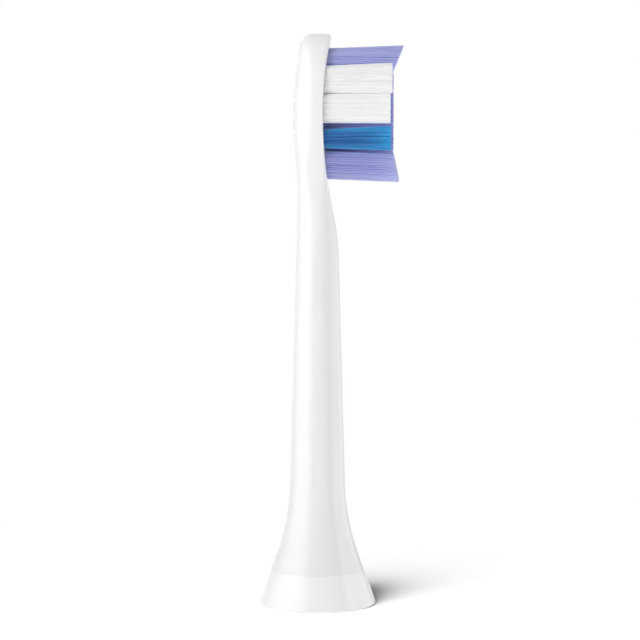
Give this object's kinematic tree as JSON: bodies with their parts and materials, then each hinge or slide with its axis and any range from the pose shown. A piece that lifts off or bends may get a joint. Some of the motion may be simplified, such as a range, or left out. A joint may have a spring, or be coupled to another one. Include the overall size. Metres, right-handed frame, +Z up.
{
  "type": "electric toothbrush head",
  "caption": "Push-on brush head for an electric toothbrush: dished oval plate with block tufts, slim tapered neck, flared foot with a separate ring, and a sprung socket for the drive shaft.",
  "frame": {"origin": "middle of the base rim, on the drive axis", "axes": "+Z up the drive axis to the tip, +X to the side that the bristles stand on"},
  "size_m": [0.0209, 0.0168, 0.082],
  "materials": {
    "body_plastic": "polished white moulding",
    "ring_plastic": "slightly translucent white moulding",
    "socket_plastic": "natural acetal",
    "spring_steel": "rolled strip",
    "coil_wire": "enamelled copper wire",
    "chip_resin": "black potting",
    "purple_bristle": "fine periwinkle filaments",
    "white_bristle": "fine white filaments",
    "blue_bristle": "fine indicator-blue filaments"
  },
  "bodies": {
    "root": {"neck_body": "body_plastic", "base_ring": "ring_plastic", "shaft_socket": "socket_plastic", "spring_clip": "spring_steel", "tag_coil": "coil_wire", "tag_chip": "chip_resin", "toe_tuft": "purple_bristle", "heel_tuft": "purple_bristle", "left_white_tuft_1": "white_bristle", "left_white_tuft_2": "white_bristle", "left_blue_tuft": "blue_bristle", "left_centre_tuft_1": "purple_bristle", "left_centre_tuft_2": "purple_bristle", "left_centre_tuft_3": "purple_bristle", "right_white_tuft_1": "white_bristle", "right_white_tuft_2": "white_bristle", "right_blue_tuft": "blue_bristle", "right_centre_tuft_1": "purple_bristle", "right_centre_tuft_2": "purple_bristle", "right_centre_tuft_3": "purple_bristle"}
  },
  "joints": []
}
